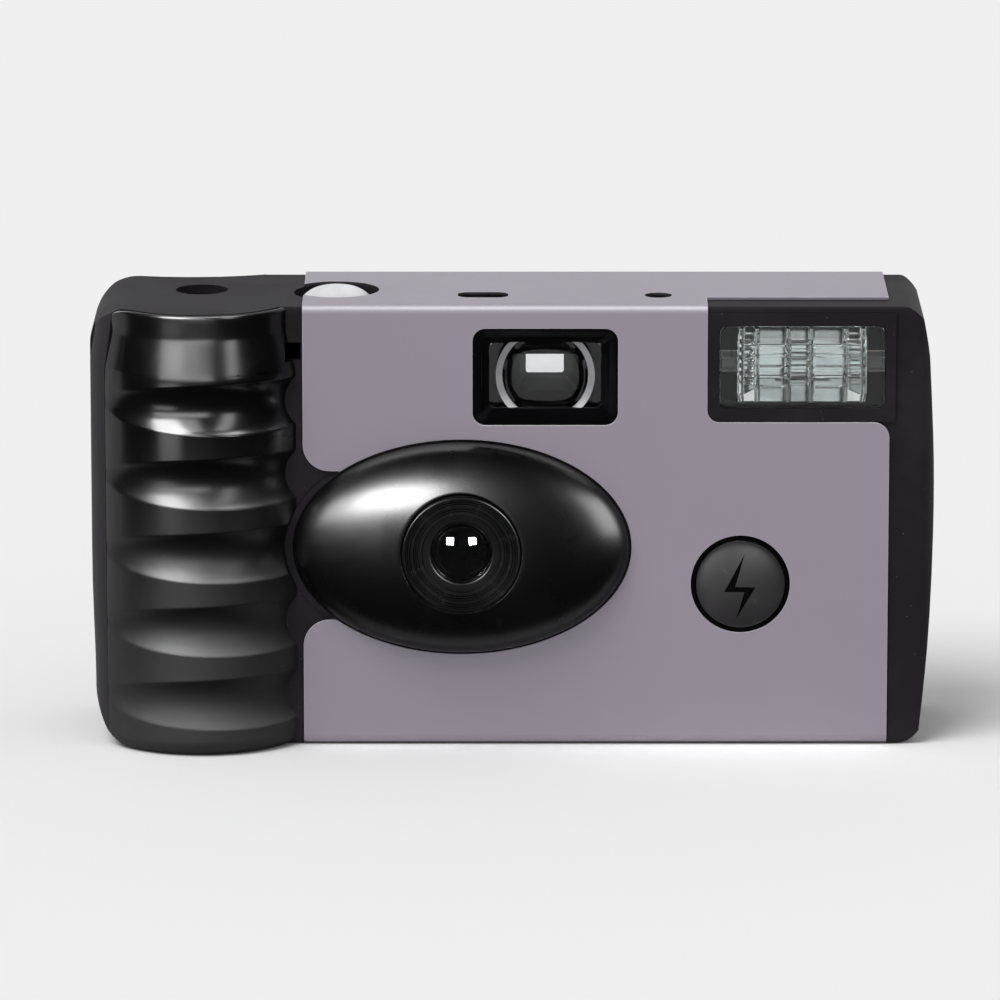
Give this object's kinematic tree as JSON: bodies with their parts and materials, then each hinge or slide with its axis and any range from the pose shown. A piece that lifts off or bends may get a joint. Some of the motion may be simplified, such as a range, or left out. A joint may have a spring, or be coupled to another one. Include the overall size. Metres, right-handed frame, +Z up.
{
  "type": "single-use film camera",
  "caption": "Single-use film camera with a fluted hand grip, card sleeve, oval lens bezel, viewfinder, built-in flash, thumbwheel film advance and hinged base door.",
  "frame": {"origin": "centre of the base plane the camera stands on, under the middle of its overall box", "axes": "+Z up, -Y out of the lens (front), +X to the viewer's right when looking at the front"},
  "size_m": [0.118, 0.035, 0.0629],
  "materials": {
    "cover": "matte",
    "grip": "gloss",
    "card": "satin",
    "bezel": "gloss",
    "ring": "satin",
    "clear": "clear",
    "frame": "matte",
    "white": "satin",
    "lever": "satin",
    "steel": "satin",
    "brass": "satin",
    "film": "gloss",
    "can": "satin",
    "board": "satin",
    "foil": "polished",
    "cap": "gloss",
    "copper": "satin",
    "lamp": "gloss",
    "cell": "satin"
  },
  "bodies": {
    "camera": {"front_cover": "cover", "rear_cover": "cover", "hand_grip": "grip", "sleeve": "card", "lens_bezel": "bezel", "lens_ring": "ring", "taking_lens": "clear", "lens_holder": "ring", "aperture_disc": "steel", "main_frame": "frame", "film_cartridge": "can", "film_strip": "film", "counter_window": "clear", "ratchet_pawl": "lever", "viewfinder_bezel": "ring", "viewfinder_tube": "frame", "viewfinder_lens": "clear", "eyepiece_lens": "clear", "flash_window": "clear", "flash_reflector": "foil", "flash_tube": "clear", "circuit_board": "board", "flash_capacitor": "cap", "transformer": "copper", "ready_lamp": "lamp", "flash_contact": "brass", "battery": "cell", "contact_plus": "brass", "contact_minus": "brass"},
    "shutter_button": {"shutter_button": "white"},
    "release_lever": {"release_lever": "lever"},
    "striker": {"striker": "lever"},
    "shutter_blade": {"shutter_blade": "steel"},
    "flash_button": {"flash_button": "cover"},
    "thumbwheel": {"thumbwheel": "cover", "cartridge_spool": "frame"},
    "supply_spool": {"supply_spool": "frame", "film_roll": "film"},
    "sprocket": {"sprocket": "lever"},
    "counter_dial": {"counter_dial": "white"},
    "film_door": {"film_door": "cover"}
  },
  "joints": [
    {"name": "shutter_press", "type": "slide", "parent": "camera", "child": "shutter_button", "axis": [0, 0, -1], "range_m": [0, 0.0015], "stiffness_N_per_m": 400, "springref_m": -0.0005},
    {"name": "release_swing", "type": "hinge", "parent": "camera", "child": "release_lever", "pos_m": [-0.0205, -0.001, 0.0512], "axis": [0, -1, 0], "range_deg": [0, 15]},
    {"name": "striker_swing", "type": "hinge", "parent": "camera", "child": "striker", "pos_m": [-0.01628, -0.00075, 0.0484], "axis": [0, 0, 1], "range_deg": [0, 56]},
    {"name": "blade_swing", "type": "hinge", "parent": "camera", "child": "shutter_blade", "pos_m": [-0.018, -0.0075, 0.036], "axis": [0, 1, 0], "range_deg": [0, 28]},
    {"name": "flash_press", "type": "slide", "parent": "camera", "child": "flash_button", "axis": [0, 1, 0], "range_m": [0, 0.0008], "stiffness_N_per_m": 500, "springref_m": -0.0005},
    {"name": "film_advance", "type": "hinge", "parent": "camera", "child": "thumbwheel", "pos_m": [-0.0432, 0.0034, 0.056], "axis": [0, 0, 1], "continuous": true},
    {"name": "supply_turn", "type": "hinge", "parent": "camera", "child": "supply_spool", "pos_m": [0.0285, 0.0049, 0.0285], "axis": [0, 0, 1], "continuous": true},
    {"name": "sprocket_turn", "type": "hinge", "parent": "camera", "child": "sprocket", "pos_m": [-0.022, 0.0051, 0.045], "axis": [0, 0, 1], "continuous": true},
    {"name": "counter_turn", "type": "hinge", "parent": "camera", "child": "counter_dial", "pos_m": [-0.0102, 0.001, 0.055], "axis": [0, 0, 1], "continuous": true},
    {"name": "door_swing", "type": "hinge", "parent": "camera", "child": "film_door", "pos_m": [-0.0298, 0.003, 0.00095], "axis": [0, -1, 0], "range_deg": [0, 90]}
  ],
  "couplings": [
    {"joint": "release_swing", "follows": "shutter_press", "rad_per_m": 174.5},
    {"joint": "striker_swing", "follows": "shutter_press", "rad_per_m": 651.5},
    {"joint": "blade_swing", "follows": "shutter_press", "rad_per_m": 325.7},
    {"joint": "supply_turn", "follows": "film_advance", "ratio": 0.64},
    {"joint": "sprocket_turn", "follows": "film_advance", "ratio": 1},
    {"joint": "counter_turn", "follows": "film_advance", "ratio": -0.033333}
  ]
}
